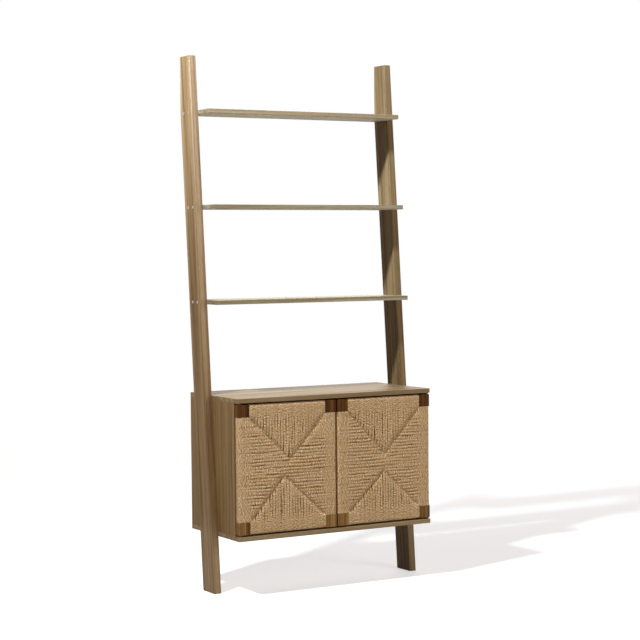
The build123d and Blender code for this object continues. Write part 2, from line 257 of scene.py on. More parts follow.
@dataclass(frozen=True)
class Veneer:
    """Sliced wood veneer on a pressed board under a satin lacquer.

    The slicing gives long bands and streaks of lighter and darker wood, the pores give short dark dashes,
    the edges get a painted highlight, and the lacquer gives a soft shine that grows at a flat angle.
    """

    name: str
    tones: tuple[str, str, str, str]
    streak: str
    edge_highlight: str
    band_mm: float = 30.0
    band_run_mm: float = 1300.0
    band_detail: float = 3.0
    line_mm: float = 12.0
    line_run_mm: float = 520.0
    line_detail: float = 4.0
    line_depth: float = 0.62
    # Real pores are about 0.2 mm wide. They are drawn coarser, because they would not show.
    pore_mm: float = 1.6
    pore_run_mm: float = 26.0
    pore_detail: float = 1.0
    pore_depth: float = 0.55
    pore_relief_mm: float = 0.15
    relief_strength: float = 0.3
    # How much of a pattern is in its finer steps, and how far it wanders off a straight line.
    fine_share: float = 0.55
    wander: float = 0.35
    # Noise values of the four tones, and at which lines, pores and shine start and are full.
    tone_stops: tuple[float, float, float, float] = (0.30, 0.44, 0.56, 0.70)
    line_stops: tuple[float, float] = (0.54, 0.36)
    pore_stops: tuple[float, float] = (0.58, 0.74)
    shine_stops: tuple[float, float] = (0.3, 0.7)
    edge_mm: float = 2.5
    edge_samples: int = 4
    edge_highlight_share: float = 0.6
    # Cosines between a face and its rounded edge where the painted edge highlight starts and is full.
    edge_stops: tuple[float, float] = (0.98, 0.80)
    roughness: float = 0.55
    # Roughness added in the darkest and in the palest wood.
    roughness_swing: tuple[float, float] = (0.08, -0.04)
    ior: float = 1.5
    gloss: float = 0.15
    lean_degrees: float = 4.7
    # Each board is cut from its own place in the pattern, up to this far away, in metres.
    board_shift: tuple[float, float, float] = (3.1, 5.7, 9.3)
    patches: tuple[Patch, ...] = ()

    def material(self, grain: Grain) -> Material:
        """Material with the grain along a board.

        Args:
            grain: Way the grain runs.

        Returns:
            The material.
        """
        material, tree, output = new_material(f"{self.name}_{grain.value}")
        spot = add_node(tree, "ShaderNodeTexCoord").outputs["Object"]
        bands, lines, pores = self.layers(tree, spot, grain)
        bevel = add_node(tree, "ShaderNodeBevel", {"Radius": self.edge_mm * MM}, samples=self.edge_samples)
        rounded = bevel.outputs[0]
        colour = self.figure(tree, bands, lines, pores, rounded)
        for patch in self.patches:
            colour = patch.apply(tree, spot, colour)
        dark, pale = self.roughness_swing
        shine = add_node(tree, "ShaderNodeMapRange",
                         {"Value": lines, "From Min": self.shine_stops[0], "From Max": self.shine_stops[1],
                          "To Min": self.roughness + dark, "To Max": self.roughness + pale})
        relief = add_node(tree, "ShaderNodeBump",
                          {"Height": pores, "Strength": self.relief_strength,
                           "Distance": self.pore_relief_mm * MM, "Normal": rounded}, invert=True)
        surface = add_node(tree, "ShaderNodeBsdfPrincipled",
                           {"Base Color": colour, "Roughness": shine.outputs[0],
                            "Normal": relief.outputs[0], "IOR": self.ior, "Specular IOR Level": self.gloss})
        tree.links.new(surface.outputs[0], output.inputs["Surface"])
        return material

    def layers(self, tree: NodeTree, spot: NodeSocket, grain: Grain) -> list[NodeSocket]:
        """Patterns that the figure of the wood is made from.

        Args:
            tree: Tree of the material.
            spot: Place on the piece.
            grain: Way the grain runs.

        Returns:
            A noise value for the bands, one for the lines and one for the pores.
        """
        board = add_node(tree, "ShaderNodeObjectInfo")
        shift = add_node(tree, "ShaderNodeVectorMath",
                         {0: self.board_shift, "Scale": board.outputs["Random"]}, operation="SCALE")
        cut = add_node(tree, "ShaderNodeVectorMath", {0: spot, 1: shift.outputs[0]}, operation="ADD")
        values = []
        for width, run, detail in ((self.band_mm, self.band_run_mm, self.band_detail),
                                   (self.line_mm, self.line_run_mm, self.line_detail),
                                   (self.pore_mm, self.pore_run_mm, self.pore_detail)):
            laid = add_node(tree, "ShaderNodeMapping",
                            {"Vector": cut.outputs[0], "Rotation": grain.turn(self.lean_degrees),
                             "Scale": grain.feature_size(width * MM, run * MM)}, vector_type="TEXTURE")
            pattern = add_node(tree, "ShaderNodeTexNoise",
                               {"Vector": laid.outputs[0], "Scale": 1.0, "Detail": detail,
                                "Roughness": self.fine_share, "Distortion": self.wander})
            values.append(pattern.outputs["Fac"])
        return values

    def figure(self, tree: NodeTree, bands: NodeSocket, lines: NodeSocket, pores: NodeSocket,
               rounded: NodeSocket) -> NodeSocket:
        """Colour of the wood with its streaks and pores, and with a highlight painted along its edges.

        Args:
            tree: Tree of the material.
            bands: Noise value of the bands.
            lines: Noise value of the lines.
            pores: Noise value of the pores.
            rounded: Direction of the surface with its edges rounded.

        Returns:
            The colour.
        """
        tone = add_node(tree, "ShaderNodeValToRGB", {"Fac": bands})
        set_stops(tone, self.tone_stops, self.tones)
        colour = tone.outputs["Color"]
        flat = add_node(tree, "ShaderNodeNewGeometry")
        facing = add_node(tree, "ShaderNodeVectorMath", {0: flat.outputs["Normal"], 1: rounded},
                          operation="DOT_PRODUCT")
        for value, (start, full), depth, code, blend in (
                (lines, self.line_stops, self.line_depth, self.streak, "MULTIPLY"),
                (pores, self.pore_stops, self.pore_depth, self.streak, "MULTIPLY"),
                # Painted highlight along the rounded edges.
                (facing.outputs["Value"], self.edge_stops, self.edge_highlight_share, self.edge_highlight, "MIX")):
            share = add_node(tree, "ShaderNodeMapRange",
                             {"Value": value, "From Min": start, "From Max": full, "To Max": depth})
            marked = add_node(tree, "ShaderNodeMix",
                              {0: share.outputs[0], MIX_A: colour, MIX_B: linear(code)},
                              data_type="RGBA", blend_type=blend)
            colour = marked.outputs[MIX_OUT]
        return colour


@dataclass(frozen=True)
class StainWithPaintedFloorLight(Veneer):
    """Solid beech under a dark stain.

    Low down the stain is painted paler, as light thrown up by the pale floor.
    """

    patches: tuple[Patch, ...] = (
        # Painted light: below 560 mm the frame grows paler, full at 280 mm.
        Patch(heights_mm=(560.0, 280.0), brightness=2.6, saturation=0.88, hue=0.517),)


@dataclass(frozen=True)
class BarWithPaintedFootLight(Veneer):
    """Veneered bar that stands on the floor.

    Below the cabinet the foot is painted paler and greyer all round, as light thrown up by the pale floor.
    """

    patches: tuple[Patch, ...] = (
        # Painted light on the foot, from 260 mm down, full at 190 mm.
        Patch(heights_mm=(260.0, 190.0), brightness=1.26, saturation=0.92),)


@dataclass(frozen=True)
class BarWithPaintedFrontLight(BarWithPaintedFootLight):
    """Veneered bar with painted light on its front face, standing on the floor.

    Above the cabinet the face that looks forward is painted paler and greyer than the faces beside it, as
    light that falls on it there. The foot gets painted light as well.
    """

    patches: tuple[Patch, ...] = (
        # Painted light on the front face, from 560 mm up, full at 860 mm.
        Patch(facing=(0, -1, 0), heights_mm=(560.0, 860.0), brightness=1.3, saturation=0.86),
        *BarWithPaintedFootLight.patches)


@dataclass(frozen=True)
class BoardWithPaintedLightAndShade(Veneer):
    """Veneered board with painted light on its underside and painted shade on its two ends.

    The underside is mixed most of the way to a plain pale colour, with a trace of the board's streaks, as
    light thrown up by the pale floor. The two ends are painted deeper in tone, as shade.
    """

    patches: tuple[Patch, ...] = (
        # Painted light on the underside, as light thrown up by the floor.
        Patch(facing=(0, 0, -1), painted_colour="#E7DCC7", most=0.88),
        # Painted shade on both ends.
        Patch(facing=(-1, 0, 0), brightness=0.64),
        Patch(facing=(1, 0, 0), brightness=0.64))


@dataclass(frozen=True)
class PaperCord:
    """Kraft paper twisted into a cord and left unwaxed.

    The uneven paper gives a salt-and-pepper of pale and dark specks, each length of cord has its own tone,
    the twist's grooves and what lies deep are painted darker as shade, and the dry paper is dull.
    """

    name: str = "paper_cord_twisted"
    dark_speck_and_groove_shade: str = "#88633C"
    deep: str = "#D6AA72"
    middle: str = "#F1CE9D"
    pale: str = "#FFF0D1"
    deep_shade: str = "#744A22"
    # Noise values of the four tones, and how far the palest strand lies above the darkest.
    tone_stops: tuple[float, float, float, float] = (0.24, 0.42, 0.56, 0.72)
    tone_spread: float = 0.08
    # Pale and dark dashes in one turn of the twist.
    specks: float = 1.7
    speck_detail: float = 2.0
    # Turns by which the twist of one strand is ahead of another's, at most.
    twist_shift: float = 97.0
    # Share of a turn by which a ridge moves on, once round the cord.
    ridge_slant: float = 0.5
    ridge_depth_mm: float = 0.4
    ridge_strength: float = 0.7
    # Ridge heights and shares of the seam's depth where painted groove shade and deep shade start and are
    # full.
    groove_shade_stops: tuple[float, float] = (0.2, -1.0)
    groove_shade_cover: float = 0.25
    deep_shade_stops: tuple[float, float] = (0.35, 1.0)
    deep_shade_cover: float = 0.12
    roughness: float = 0.85
    ior: float = 1.45
    gloss: float = 0.2
    sheen: float = 0.1

    def material(self) -> Material:
        """Material that follows the strands' own coordinates.

        Returns:
            The material.
        """
        material, tree, output = new_material(self.name)
        along = add_node(tree, "ShaderNodeUVMap", uv_map="strand")
        parts = add_node(tree, "ShaderNodeSeparateXYZ", {0: along.outputs[0]})
        tint = add_node(tree, "ShaderNodeAttribute", attribute_name="tint").outputs["Fac"]
        start = add_node(tree, "ShaderNodeMath", {0: tint, 1: self.twist_shift, 2: parts.outputs[0]},
                         operation="MULTIPLY_ADD")
        turn = add_node(tree, "ShaderNodeMath",
                        {0: parts.outputs[1], 1: self.ridge_slant, 2: start.outputs[0]},
                        operation="MULTIPLY_ADD")
        angle = add_node(tree, "ShaderNodeMath", {0: turn.outputs[0], 1: 2 * math.pi}, operation="MULTIPLY")
        ridge = add_node(tree, "ShaderNodeMath", {0: angle.outputs[0]}, operation="SINE").outputs[0]
        speck = add_node(tree, "ShaderNodeTexNoise",
                         {"W": start.outputs[0], "Scale": self.specks, "Detail": self.speck_detail},
                         noise_dimensions="1D")
        tone = add_node(tree, "ShaderNodeMath", {0: tint, 1: self.tone_spread, 2: speck.outputs["Fac"]},
                        operation="MULTIPLY_ADD")
        paper = add_node(tree, "ShaderNodeValToRGB", {"Fac": tone.outputs[0]})
        set_stops(paper, self.tone_stops, (self.dark_speck_and_groove_shade, self.deep, self.middle, self.pale))
        colour = paper.outputs["Color"]
        sunk = add_node(tree, "ShaderNodeAttribute", attribute_name="sunk").outputs["Fac"]
        # Painted shade: the twist's grooves and the cord that lies deep are mixed darker.
        for value, (first, full), cover, code in (
                (ridge, self.groove_shade_stops, self.groove_shade_cover, self.dark_speck_and_groove_shade),
                (sunk, self.deep_shade_stops, self.deep_shade_cover, self.deep_shade)):
            share = add_node(tree, "ShaderNodeMapRange",
                             {"Value": value, "From Min": first, "From Max": full, "To Max": cover})
            covered = add_node(tree, "ShaderNodeMix",
                               {0: share.outputs[0], MIX_A: colour, MIX_B: linear(code)}, data_type="RGBA")
            colour = covered.outputs[MIX_OUT]
        relief = add_node(tree, "ShaderNodeBump",
                          {"Height": ridge, "Strength": self.ridge_strength,
                           "Distance": self.ridge_depth_mm * MM})
        surface = add_node(tree, "ShaderNodeBsdfPrincipled",
                           {"Base Color": colour, "Roughness": self.roughness, "Normal": relief.outputs[0],
                            "IOR": self.ior, "Specular IOR Level": self.gloss, "Sheen Weight": self.sheen})
        tree.links.new(surface.outputs[0], output.inputs["Surface"])
        return material


@dataclass(frozen=True)
class Hard:
    """Metal, moulded plastic or pressed card with a fine grain in its surface.

    Plating and tumbling leave metal softly shiny with a slight mottle, a sparked mould leaves plastic with a
    fine even grit that dulls it, and pulp leaves card flecked and dull.
    """

    name: str
    colour: str
    shade: str
    metallic: float
    roughness: float
    grit_mm: float
    grit_detail: float = 3.0
    grit_depth_mm: float = 0.03
    grit_strength: float = 0.3
    # Noise values of the shade and the colour, and at the ends of the roughness.
    tone_stops: tuple[float, float] = (0.30, 0.65)
    shine_stops: tuple[float, float] = (0.3, 0.7)
    # Roughness added in the shade and in the colour.
    roughness_swing: tuple[float, float] = (-0.05, 0.08)

    def material(self) -> Material:
        """Material of the finish.

        Returns:
            The material.
        """
        material, tree, output = new_material(self.name)
        place = add_node(tree, "ShaderNodeTexCoord")
        grit = add_node(tree, "ShaderNodeTexNoise",
                        {"Vector": place.outputs["Object"], "Scale": 1 / (self.grit_mm * MM),
                         "Detail": self.grit_detail}).outputs["Fac"]
        colour = add_node(tree, "ShaderNodeValToRGB", {"Fac": grit})
        set_stops(colour, self.tone_stops, (self.shade, self.colour))
        dark, pale = self.roughness_swing
        shine = add_node(tree, "ShaderNodeMapRange",
                         {"Value": grit, "From Min": self.shine_stops[0], "From Max": self.shine_stops[1],
                          "To Min": self.roughness + dark, "To Max": self.roughness + pale})
        relief = add_node(tree, "ShaderNodeBump",
                          {"Height": grit, "Strength": self.grit_strength,
                           "Distance": self.grit_depth_mm * MM})
        surface = add_node(tree, "ShaderNodeBsdfPrincipled",
                           {"Base Color": colour.outputs["Color"], "Metallic": self.metallic,
                            "Roughness": shine.outputs[0], "Normal": relief.outputs[0]})
        tree.links.new(surface.outputs[0], output.inputs["Surface"])
        return material


def dress(nodes: list[str], material: Material) -> None:
    """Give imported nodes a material.

    Args:
        nodes: Names of the nodes.
        material: Material that they get.
    """
    for name in nodes:
        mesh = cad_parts[name].data
        mesh.materials.clear()
        mesh.materials.append(material)
        LOG.info("%s wears %s", name, material.name)


@dataclass
class Boards:
    """Stiles, open shelves and the cabinet's panels."""

    left_stile: Veneer = BarWithPaintedFrontLight(
        "walnut_veneer_lacquered", ("#7C6141", "#8C704B", "#9A7E58", "#A88B64"), "#BCA88E", "#BFA67E")
    right_stile: Veneer = BarWithPaintedFootLight(
        "walnut_veneer_lacquered_dark", ("#705939", "#7F6744", "#8C7450", "#99815C"), "#BCA88E", "#AE9874")
    cabinet_sides: Veneer = Veneer(
        "walnut_veneer_lacquered_warm", ("#7A5F3C", "#8A6D46", "#987A52", "#A5885E"), "#B8A086", "#BBA278",
        line_mm=16.0)
    top_shelf: Veneer = BoardWithPaintedLightAndShade(
        "walnut_veneer_lacquered_top_shelf", ("#867151", "#957F5E", "#A48E6C", "#B09A79"), "#CBC0AC",
        "#C7B494", edge_mm=3.0)
    middle_shelf: Veneer = BoardWithPaintedLightAndShade(
        "walnut_veneer_lacquered_middle_shelf", ("#98896B", "#A99B7D", "#BAAC90", "#C8BBA2"), "#CBC0AC",
        "#DED7C3", edge_mm=3.0)
    lower_shelf: Veneer = BoardWithPaintedLightAndShade(
        "walnut_veneer_lacquered_lower_shelf", ("#928464", "#A29476", "#B3A587", "#C0B498"), "#CBC0AC",
        "#D6CCB6", edge_mm=3.0)
    lying_boards: Veneer = Veneer(
        "walnut_veneer_lacquered_pale", ("#826C4D", "#927B59", "#A18A68", "#AF9976"), "#C2B29C", "#C4B08E")
    backing: Veneer = Veneer(
        "printed_hardboard", ("#856A48", "#957853", "#A3835E", "#AE8F68"), "#CDBCA4", "#B89C78",
        roughness=0.6)

    def dress(self) -> None:
        """Lay each board's grain the way that it was cut."""
        dress([Side.LEFT.node("stile")], self.left_stile.material(Grain.LEANING))
        dress([Side.RIGHT.node("stile")], self.right_stile.material(Grain.LEANING))
        dress([side.node("side_panel") for side in Side], self.cabinet_sides.material(Grain.UPRIGHT))
        for nodes, finish in ((["top_shelf"], self.top_shelf),
                              (["middle_shelf"], self.middle_shelf),
                              (["lower_shelf"], self.lower_shelf),
                              (["cabinet_top", "cabinet_bottom", "inner_shelf"], self.lying_boards),
                              (["back_panel"], self.backing)):
            dress(nodes, finish.material(Grain.ACROSS))


@dataclass
class Fittings:
    """Screws, bolts, inserts, dowels, pins, pivots and push latches."""

    steel: Hard = Hard("zinc_plated_steel", "#D6D5CF", "#B4B3AD", 1.0, 0.30, 1.2)
    brass: Hard = Hard("turned_brass", "#C9A45C", "#A9843F", 1.0, 0.32, 1.0)
    # The pivot bushes are coloured near black as painted shade of the gap at the doors' corners where they
    # sit.
    shade_dark_brass: Hard = Hard("blackened_brass", "#4A3A28", "#33281C", 1.0, 0.45, 1.0)
    dark: Hard = Hard("abs_moulded_dark", "#2A2A2A", "#1F1F1F", 0.0, 0.5, 0.6)
    pale: Hard = Hard("acetal_moulded_grey", "#A5A5A0", "#93938E", 0.0, 0.4, 0.6)
    beech: Veneer = Veneer(
        "beech_turned", ("#C09664", "#CBA472", "#D2AE7E", "#DAB888"), "#D8C4A4", "#E0C498")

    def dress(self) -> None:
        """Give each fitting its metal, plastic or wood."""
        plated = [side.node(name) for side in Side
                  for name in ("shelf_screws", "cabinet_bolts", "pivot_pins", "strike_plate")]
        dress(plated + ["shelf_pins"], self.steel.material())
        for name, finish in (("stile_inserts", self.brass), ("pivot_bushes", self.shade_dark_brass),
                             ("latch_body", self.dark), ("latch_plunger", self.pale)):
            dress([side.node(name) for side in Side], finish.material())
        dress(["carcass_dowels"], self.beech.material(Grain.UPRIGHT))


@dataclass
class CordSkin:
    """Skin of all the strands on a door, with what their material reads from it."""

    vertices: list[Vector] = field(default_factory=list)
    faces: list[tuple[int, ...]] = field(default_factory=list)
    # Turns of the twist along the strand and share of the way round it, for each corner of each face.
    coordinates: list[tuple[float, float]] = field(default_factory=list)
    tints: list[float] = field(default_factory=list)
    depths: list[float] = field(default_factory=list)

    def mesh(self, name: str) -> Mesh:
        """Mesh of the skin.

        Args:
            name: Name of the mesh.

        Returns:
            The mesh, with its coordinates and its points' tints and depths.
        """
        mesh = bpy.data.meshes.new(name)
        mesh.from_pydata(self.vertices, [], self.faces)
        layer = mesh.uv_layers.new(name="strand")
        layer.data.foreach_set("uv", [value for pair in self.coordinates for value in pair])
        for attribute, values in (("tint", self.tints), ("sunk", self.depths)):
            mesh.attributes.new(attribute, "FLOAT", "POINT").data.foreach_set("value", values)
        mesh.polygons.foreach_set("use_smooth", [True] * len(self.faces))
        return mesh


@dataclass
class WovenDoor:
    """Door whose dark frame is wound with paper cord in four fields that meet in sunk seams."""

    side: Side
    cord_material: Material
    card_material: Material
    frame_materials: tuple[Material, Material]
    # Where the upper and the lower field come to a point: to the right of the middle, and in from their edge.
    upper_point_mm: tuple[float, float]
    lower_point_mm: tuple[float, float]
    cord_mm: float = 3.7
    # Thinnest and thickest strand, as shares of the usual one.
    cord_swing: tuple[float, float] = (0.92, 1.06)
    pitch_mm: float = 3.57
    # The cord is laid in threes, so that the fields show broad ribs with a groove between them.
    laid_together: int = 3
    wrap_radius_mm: float = 8.0
    # Where the bend over the edge has points between its two ends, in degrees.
    wrap_degrees: tuple[float, float] = (60.0, 30.0)
    ring_sides: int = 6
    step_mm: float = 9.0
    # Over the rails the ribs lie tight and even. Between them they close up, and stray a little.
    tight_squeeze_mm: float = 0.04
    loose_squeeze_mm: float = 0.36
    tight_round_mm: float = 0.18
    loose_round_mm: float = 1.1
    tight_stray_mm: float = 0.15
    loose_stray_mm: float = 1.2
    # The cord is tight over this share of the rail, and loose this far beyond.
    tight_share: float = 0.85
    loosening_mm: float = 25.0
    stray_width_mm: float = 15.0
    stray_run_mm: float = 40.0
    stray_gain: float = 1.6
    open_width_mm: float = 11.0
    open_run_mm: float = 55.0
    open_gain: float = 1.7
    open_limits: tuple[float, float] = (0.1, 1.7)
    lying_opening: float = 1.05
    upright_opening: float = 1.2
    sunk_mm: float = 1.0
    sunk_run_mm: float = 70.0
    sunk_gain: float = 3.0
    seam_width_mm: float = 20.0
    # Shares of the seam's width that are left where a strand has points on its way down.
    seam_steps: tuple[float, ...] = (0.75, 0.5, 0.25, 0.0)
    seam_sink_mm: float = 6.6
    # Above 1 the cord stays up for longer and then drops.
    seam_drop: float = 1.4
    seam_stray_mm: float = 1.6
    # At 1 the three cords of a rib end together and the seam is a stair, at 0 it is a straight line.
    seam_stairs: float = 0.5
    middle_seam: float = 0.22
    # How far the cord can sink on the rail, and how steeply it can go down beyond it.
    rail_sink_mm: float = 0.3
    rail_slope: float = 0.9
    tuck_mm: float = 9.0
    tuck_sink_mm: float = 1.2
    # Share of the tuck after which the end is fully sunk.
    tuck_drop: float = 0.4
    # The twist of a 4 mm cord repeats every 4 mm or so. It is drawn coarser, because it would not show.
    lay_mm: float = 7.5
    lay_swing: tuple[float, float] = (0.75, 1.35)
    # Seeds are drawn up to a span, and steps keep the noise of the two faces and of each use apart.
    seed_span: float = 500.0
    behind_seed: float = 31.0
    open_seed: float = 60.0
    sunk_seed: float = 7.0
    # Cards in each field: share of its size, which keeps them off the seams, and thickness in millimetres.
    cards: tuple[tuple[float, float], ...] = ((0.90, 4.0), (0.78, 12.0))

    low: Vector = field(init=False)
    high: Vector = field(init=False)
    block: float = field(init=False)

    def __post_init__(self) -> None:
        """Take the door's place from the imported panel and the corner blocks' size from its post."""
        self.low, self.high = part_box(self.side.node("door_weave"))
        post_low, post_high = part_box(self.side.node("door_outer_post"))
        self.block = post_high.x - post_low.x

    def dress(self) -> None:
        """Dress the frame, wind the cord and pack it."""
        upright, across = self.frame_materials
        dress([self.side.node("door_outer_post"), self.side.node("door_inner_post")], upright)
        dress([self.side.node("door_top_rail"), self.side.node("door_bottom_rail")], across)
        panel = self.wind()
        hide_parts(self.side.node("door_weave"))
        for piece in (panel, self.pack()):
            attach(piece, f"{self.side.value}_door")
            LOG.info("%s has %d faces", piece.name, len(piece.data.polygons))

    def wind(self) -> Object:
        """Make every strand of the panel.

        Returns:
            One mesh object that holds the strands, with their own coordinates and tints.
        """
        dice = random.Random(f"cord {self.side.value}")
        skin = CordSkin()
        group = self.laid_together
        for edge in Edge:
            seam_line = self.seam_line(edge)
            start, end = seam_line[0][0], seam_line[-1][0]
            count = group * round((end - start) / (group * self.pitch_mm * MM))
            pitch = (end - start) / count
            field_seed = dice.uniform(0, self.seed_span)
            for i in range(count):
                lane = start + (i + 0.5) * pitch
                rank = i % group - (group - 1) / 2
                reach, seam = self.meet(seam_line, lane - rank * pitch * self.seam_stairs)
                path, sunk = self.strand(edge, lane, rank, reach, seam, field_seed, dice)
                self.tube(path, edge, dice, skin)
                skin.depths += [share for share in sunk for _ in range(self.ring_sides)]
        mesh = skin.mesh(self.side.node("cord_panel"))
        mesh.materials.append(self.cord_material)
        return new_object(mesh.name, mesh)

    def pack(self) -> Object:
        """Cut the cards that fill the space between the two layers of cord.

        Returns:
            One mesh object that holds the cards of the four fields.
        """
        middle = (self.high.y - self.low.y) / 2
        vertices: list[Vector] = []
        faces: list[tuple[int, ...]] = []
        for edge, (share, thick_mm) in product(Edge, self.cards):
            half = thick_mm * MM / 2
            line = self.seam_line(edge)
            centre = (line[0][0] + line[-1][0]) / 2
            outline = [(centre + (lane - centre) * share, self.block + (t - self.block) * share)
                       for lane, t in line]
            if edge in (Edge.BOTTOM, Edge.HIGH_X):
                # These two fields are mirrored, and would face inward.
                outline.reverse()
            base, count = len(vertices), len(outline)
            for depth in (middle - half, middle + half):
                vertices += [self.place(edge, lane, t, depth) for lane, t in outline]
            front, back = range(base, base + count), range(base + count, base + 2 * count)
            faces += [tuple(front), tuple(reversed(back))]
            faces += [(front[i], back[i], back[i - count + 1], front[i - count + 1]) for i in range(count)]
        mesh = bpy.data.meshes.new(self.side.node("packing_cards"))
        mesh.from_pydata(vertices, [], faces)
        mesh.materials.append(self.card_material)
        return new_object(mesh.name, mesh)

    def seam_line(self, edge: Edge) -> list[tuple[float, float]]:
        """Line in which a field meets its neighbours, from one corner block to the other.

        Args:
            edge: Edge that the field hangs on.

        Returns:
            Places along the edge with the seam's distance from the edge, in metres.
        """
        middle = (self.low.x + self.high.x) / 2
        upper, lower = ((middle + right * MM, depth * MM)
                        for right, depth in (self.upper_point_mm, self.lower_point_mm))
        if edge.level:
            start, end = self.low.x, self.high.x
            points = [upper if edge is Edge.TOP else lower]
        else:
            start, end = self.low.z, self.high.z
            side_x = self.low.x if edge is Edge.LOW_X else self.high.x
            points = [(self.low.z + lower[1], abs(lower[0] - side_x)),
                      (self.high.z - upper[1], abs(upper[0] - side_x))]
        return [(start + self.block, self.block), *points, (end - self.block, self.block)]

    def meet(self, line: list[tuple[float, float]], lane: float) -> tuple[float, float]:
        """Where a strand ends at the seam, and how deep the seam is there.

        Args:
            line: The field's seam line.
            lane: Place of the strand along the edge, in metres.

        Returns:
            The seam's distance from the edge in metres, and the share of its usual depth.
        """
        for (a, near), (b, far) in zip(line, line[1:]):
            if lane <= b:
                break
        reach = near + (far - near) * min(1.0, max(0.0, (lane - a) / (b - a)))
        if len(line) < 4 or not line[1][0] < lane < line[2][0]:
            return reach, 1.0
        # Where two fields meet in the middle their cords pass into each other, with hardly a seam.
        inside = min(lane - line[1][0], line[2][0] - lane)
        return reach, max(self.middle_seam, 1 - inside / (self.seam_width_mm * MM))

    def strand(self, edge: Edge, lane: float, rank: float, reach: float, seam: float, field_seed: float,
               dice: random.Random) -> tuple[list[Vector], list[float]]:
        """Middle line of one strand, from its seam in front over the edge to its seam behind.

        Args:
            edge: Edge that it goes over.
            lane: Its place along that edge, in metres.
            rank: Its place in its rib, 0 in the middle.
            reach: How far the seam lies from the edge, in metres.
            seam: Share of the usual depth that the seam has here.
            field_seed: Number that makes this field's straying its own.
            dice: Source of its small irregularities.

        Returns:
            The points of the middle line, and how far each is sunk as a share of the seam's depth.
        """
        radius = self.cord_mm * MM / 2
        bend = self.wrap_radius_mm * MM
        thick = self.high.y - self.low.y
        rib = lane - rank * self.pitch_mm * MM
        points: list[Vector] = []
        sunk: list[float] = []
        for behind in (False, True):
            seed = dice.uniform(0, self.seed_span)
            end = reach + dice.uniform(-1, 1) * self.seam_stray_mm * MM
            run = [(lane, radius, bend, 0.0)]
            for angle in map(math.radians, self.wrap_degrees):
                run.append((lane, bend - (bend - radius) * math.sin(angle),
                            bend - (bend - radius) * math.cos(angle), 0.0))
            for t in self.stations(bend, end):
                face_seed = field_seed + self.behind_seed * behind
                spread = rank * self.opening(edge, rib, t, face_seed)
                depth = self.sink(spread, t, end, seam, seed)
                run.append((lane + self.stray(rib, spread, t, face_seed), t, radius + depth, depth))
            for place, t, w, depth in run if behind else reversed(run):
                points.append(self.place(edge, place, t, thick - w if behind else w))
                sunk.append(min(1.0, depth / (self.seam_sink_mm * MM)))
        return points, sunk

    def stations(self, bend: float, reach: float) -> list[float]:
        """Distances from the edge at which a strand gets a point, out to its tucked end.

        Args:
            bend: Radius of the wrap over the edge, in metres.
            reach: Distance of the seam, in metres.

        Returns:
            The distances in metres, in order.
        """
        seam = self.seam_width_mm * MM
        last = reach - seam
        steps = max(1, round((last - bend) / (self.step_mm * MM)))
        values = [bend + (last - bend) * k / steps for k in range(steps + 1)]
        values += [reach - seam * share for share in self.seam_steps]
        return values + [reach + self.tuck_mm * MM * share for share in (self.tuck_drop, 1.0)]

    def between(self, tight_mm: float, loose_mm: float, t: float) -> float:
        """Value that goes from its tight size over the rail to its loose size in the open middle.

        Args:
            tight_mm: Size over the rail, in millimetres.
            loose_mm: Size in the middle, in millimetres.
            t: Distance from the edge, in metres.

        Returns:
            The size in metres.
        """
        loose = min(1.0, max(0.0, (t - self.block * self.tight_share) / (self.loosening_mm * MM)))
        return (tight_mm + (loose_mm - tight_mm) * loose) * MM

    def stray(self, rib: float, spread: float, t: float, face_seed: float) -> float:
        """How far a strand strays sideways, with its rib and towards the rib's middle.

        Args:
            rib: Place of its rib along the edge, in metres.
            spread: Its place in the rib times how open the grooves are.
            t: Distance from the edge, in metres.
            face_seed: Number of the field on this face of the door.

        Returns:
            The stray in metres.
        """
        spot = Vector((rib / (self.stray_width_mm * MM), t / (self.stray_run_mm * MM), face_seed))
        usual = self.between(self.tight_stray_mm, self.loose_stray_mm, t)
        together = noise.noise(spot) * self.stray_gain * usual
        return together - spread * self.between(self.tight_squeeze_mm, self.loose_squeeze_mm, t)

    def opening(self, edge: Edge, rib: float, t: float, face_seed: float) -> float:
        """How open the grooves beside a rib are here, from shut at 0 to wide.

        Args:
            edge: Edge that the rib goes over.
            rib: Place of the rib along the edge, in metres.
            t: Distance from the edge, in metres.
            face_seed: Number of the field on this face of the door.

        Returns:
            A share of the usual opening.
        """
        spot = Vector((rib / (self.open_width_mm * MM), t / (self.open_run_mm * MM),
                       face_seed + self.open_seed))
        usual = self.upright_opening if edge.level else self.lying_opening
        least, most = self.open_limits
        return min(most, max(least, usual + self.open_gain * noise.noise(spot)))

    def sink(self, spread: float, t: float, reach: float, share: float, seed: float) -> float:
        """How far a strand lies below the panel's face.

        Args:
            spread: Its place in the rib times how open the grooves are.
            t: Distance from the edge, in metres.
            reach: Distance of the seam, in metres.
            share: Share of the usual depth that the seam has here.
            seed: Number that makes this strand's noise its own.

        Returns:
            The depth in metres.
        """
        depth = abs(spread) * self.between(self.tight_round_mm, self.loose_round_mm, t)
        wave = noise.noise(Vector((t / (self.sunk_run_mm * MM), seed, self.sunk_seed)))
        depth += self.between(0.0, self.sunk_mm, t) * min(1.0, max(0.0, wave * self.sunk_gain))
        left = reach - t
        seam = self.seam_width_mm * MM
        if left < seam:
            # Over the rail the cord lies on wood, so it can only sink beyond the rail's inner edge.
            free = max(self.rail_sink_mm * MM, self.rail_slope * (t - self.block))
            depth += min(free, share * self.seam_sink_mm * MM * min(1.0, 1 - left / seam) ** self.seam_drop)
        if left < 0:
            depth += share * self.tuck_sink_mm * MM * min(1.0, -left / (self.tuck_mm * MM * self.tuck_drop))
        return depth

